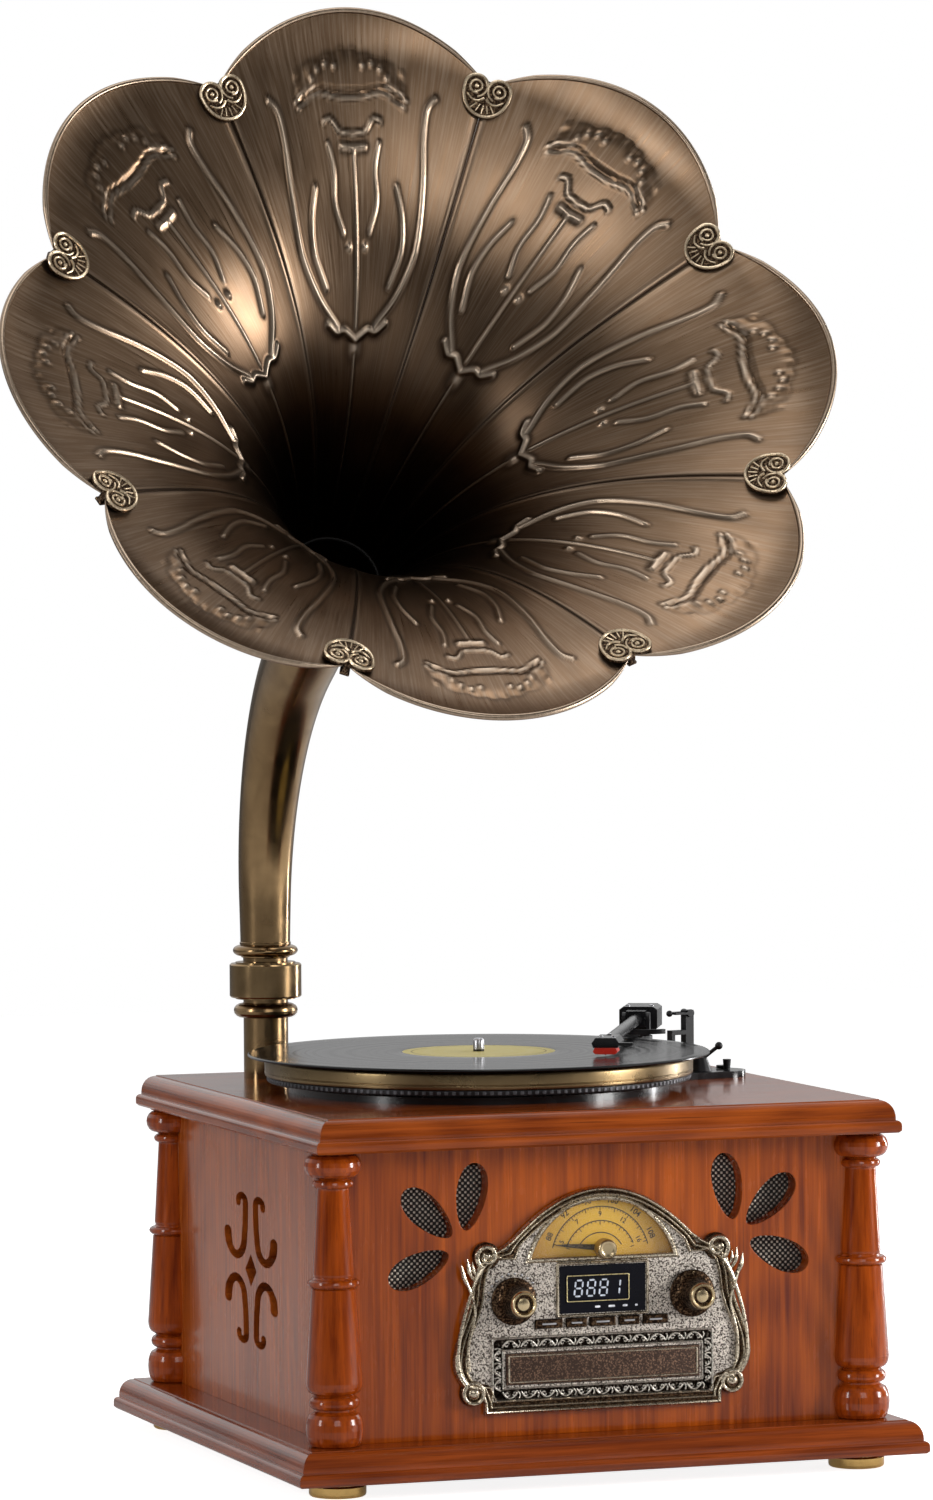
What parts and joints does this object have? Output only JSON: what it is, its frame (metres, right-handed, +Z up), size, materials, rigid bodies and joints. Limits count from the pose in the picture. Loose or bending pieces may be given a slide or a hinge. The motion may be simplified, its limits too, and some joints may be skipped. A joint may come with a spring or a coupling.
{
  "type": "horn gramophone",
  "caption": "Horn gramophone: petal horn on a pipe, turntable and tonearm on a wooden cabinet with corner columns, a radio front and a disc drawer.",
  "frame": {"origin": "centre of the overall box, at the bottom of the feet", "axes": "+X to the right as seen from the front, -Y out of the front, +Z up along the horn side of the cabinet"},
  "size_m": [0.6142, 0.5948, 0.9319],
  "materials": {
    "wood": "gloss varnish, vertical grain",
    "foot_brass": "polished",
    "mesh": "matte, woven",
    "speaker_black": "satin",
    "circuit": "satin",
    "core_steel": "brushed",
    "black_plastic": "satin",
    "horn_brass": "antique brushed, dark with worn lighter areas",
    "platter_brass": "brushed",
    "belt_rubber": "matte",
    "mat_felt": "matte",
    "vinyl": "grooved gloss",
    "red_plastic": "gloss",
    "pewter": "stippled pewter with brass rails",
    "dial_yellow": "backlit matte",
    "pointer_black": "matte",
    "clear": "clear",
    "knob_brass": "satin",
    "key_bronze": "granular bronze",
    "tray_bronze": "granular bronze with a gold edge"
  },
  "bodies": {
    "root": {"plinth_board": "wood", "top_board": "wood", "front_panel": "wood", "left_panel": "wood", "right_panel": "wood", "back_panel": "wood", "columns": "wood", "feet": "foot_brass", "grilles": "mesh", "speakers": "speaker_black", "circuit_board": "circuit", "mains_transformer": "core_steel", "rear_sockets": "black_plastic", "horn_driver": "speaker_black", "socket_pipe": "horn_brass", "lock_collar": "horn_brass", "deck_plate": "black_plastic", "drive_motor": "core_steel", "drive_belt": "belt_rubber", "arm_base": "black_plastic", "arm_rest": "black_plastic", "faceplate": "pewter", "dial_card": "dial_yellow", "dial_glass": "clear", "display_window": "black_plastic", "disc_drive": "core_steel"},
    "horn": {"elbow_pipe": "horn_brass", "petal_1": "horn_brass", "petal_2": "horn_brass", "petal_3": "horn_brass", "petal_4": "horn_brass", "petal_5": "horn_brass", "petal_6": "horn_brass", "petal_7": "horn_brass", "petal_8": "horn_brass", "rim_clips": "horn_brass"},
    "turntable": {"sub_platter": "black_plastic", "platter": "platter_brass", "slip_mat": "mat_felt", "record": "vinyl"},
    "pulley": {"motor_pulley": "platter_brass"},
    "arm_turret": {"arm_gimbal": "black_plastic"},
    "tonearm": {"arm_tube": "black_plastic", "cartridge": "red_plastic", "counterweight": "black_plastic"},
    "lifter": {"lift_bar": "black_plastic"},
    "cue": {"cue_lever": "black_plastic"},
    "clip": {"rest_clip": "black_plastic"},
    "speed": {"speed_lever": "black_plastic"},
    "stop": {"stop_switch": "black_plastic"},
    "tuner": {"dial_pointer": "pointer_black", "tuning_knob": "knob_brass"},
    "volume": {"volume_knob": "knob_brass"},
    "function": {"function_knob": "knob_brass"},
    "tray": {"disc_tray": "tray_bronze"},
    "key_1": {"button_1": "key_bronze"},
    "key_2": {"button_2": "key_bronze"},
    "key_3": {"button_3": "key_bronze"},
    "key_4": {"button_4": "key_bronze"},
    "key_5": {"button_5": "key_bronze"}
  },
  "joints": [
    {"name": "horn_turn", "type": "hinge", "parent": "root", "child": "horn", "pos_m": [-0.024, 0.232, 0.3015], "axis": [0, 0, 1], "continuous": true},
    {"name": "platter_spin", "type": "hinge", "parent": "root", "child": "turntable", "pos_m": [0.077, 0.091, 0.2585], "axis": [0, 0, 1], "continuous": true},
    {"name": "pulley_spin", "type": "hinge", "parent": "root", "child": "pulley", "pos_m": [-0.00638, 0.05212, 0.2505], "axis": [0, 0, 1], "continuous": true},
    {"name": "tonearm_swing", "type": "hinge", "parent": "root", "child": "arm_turret", "pos_m": [0.231, 0.206, 0.2693], "axis": [0, 0, -1], "range_deg": [-39.3, 11.1]},
    {"name": "tonearm_lift", "type": "hinge", "parent": "arm_turret", "child": "tonearm", "pos_m": [0.231, 0.206, 0.2693], "axis": [-0.8965, 0.4431, 0], "range_deg": [0, 12]},
    {"name": "lifter_rise", "type": "slide", "parent": "root", "child": "lifter", "axis": [0, 0, 1], "range_m": [0, 0.006]},
    {"name": "cue_turn", "type": "hinge", "parent": "root", "child": "cue", "pos_m": [0.231, 0.2092, 0.2485], "axis": [-1, 0, 0], "range_deg": [0, 60]},
    {"name": "clip_turn", "type": "hinge", "parent": "root", "child": "clip", "pos_m": [0.2503, 0.16017, 0.2763], "axis": [-0.225, 0.9744, 0], "range_deg": [0, 100]},
    {"name": "speed_turn", "type": "hinge", "parent": "root", "child": "speed", "pos_m": [0.24, 0.111, 0.2415], "axis": [0, 0, 1], "range_deg": [-22, 22]},
    {"name": "stop_turn", "type": "hinge", "parent": "root", "child": "stop", "pos_m": [0.262, 0.125, 0.2415], "axis": [0, 0, 1], "range_deg": [-20, 20]},
    {"name": "tuning_turn", "type": "hinge", "parent": "root", "child": "tuner", "pos_m": [0.099, -0.0755, 0.148], "axis": [0, 1, 0], "range_deg": [0, 170]},
    {"name": "volume_turn", "type": "hinge", "parent": "root", "child": "volume", "pos_m": [0.039, -0.0755, 0.117], "axis": [0, 1, 0], "range_deg": [0, 280]},
    {"name": "function_turn", "type": "hinge", "parent": "root", "child": "function", "pos_m": [0.159, -0.0755, 0.117], "axis": [0, 1, 0], "range_deg": [-60, 60]},
    {"name": "key_1_press", "type": "slide", "parent": "root", "child": "key_1", "axis": [0, 1, 0], "range_m": [0, 0.0012], "stiffness_N_per_m": 300},
    {"name": "key_2_press", "type": "slide", "parent": "root", "child": "key_2", "axis": [0, 1, 0], "range_m": [0, 0.0012], "stiffness_N_per_m": 300},
    {"name": "key_3_press", "type": "slide", "parent": "root", "child": "key_3", "axis": [0, 1, 0], "range_m": [0, 0.0012], "stiffness_N_per_m": 300},
    {"name": "key_4_press", "type": "slide", "parent": "root", "child": "key_4", "axis": [0, 1, 0], "range_m": [0, 0.0012], "stiffness_N_per_m": 300},
    {"name": "key_5_press", "type": "slide", "parent": "root", "child": "key_5", "axis": [0, 1, 0], "range_m": [0, 0.0012], "stiffness_N_per_m": 300},
    {"name": "tray_slide", "type": "slide", "parent": "root", "child": "tray", "axis": [0, -1, 0], "range_m": [0, 0.13]}
  ],
  "couplings": [
    {"joint": "pulley_spin", "follows": "platter_spin", "ratio": 6.2273},
    {"joint": "lifter_rise", "follows": "tonearm_lift", "m_per_rad": 0.0286},
    {"joint": "cue_turn", "follows": "tonearm_lift", "ratio": 4.99}
  ]
}
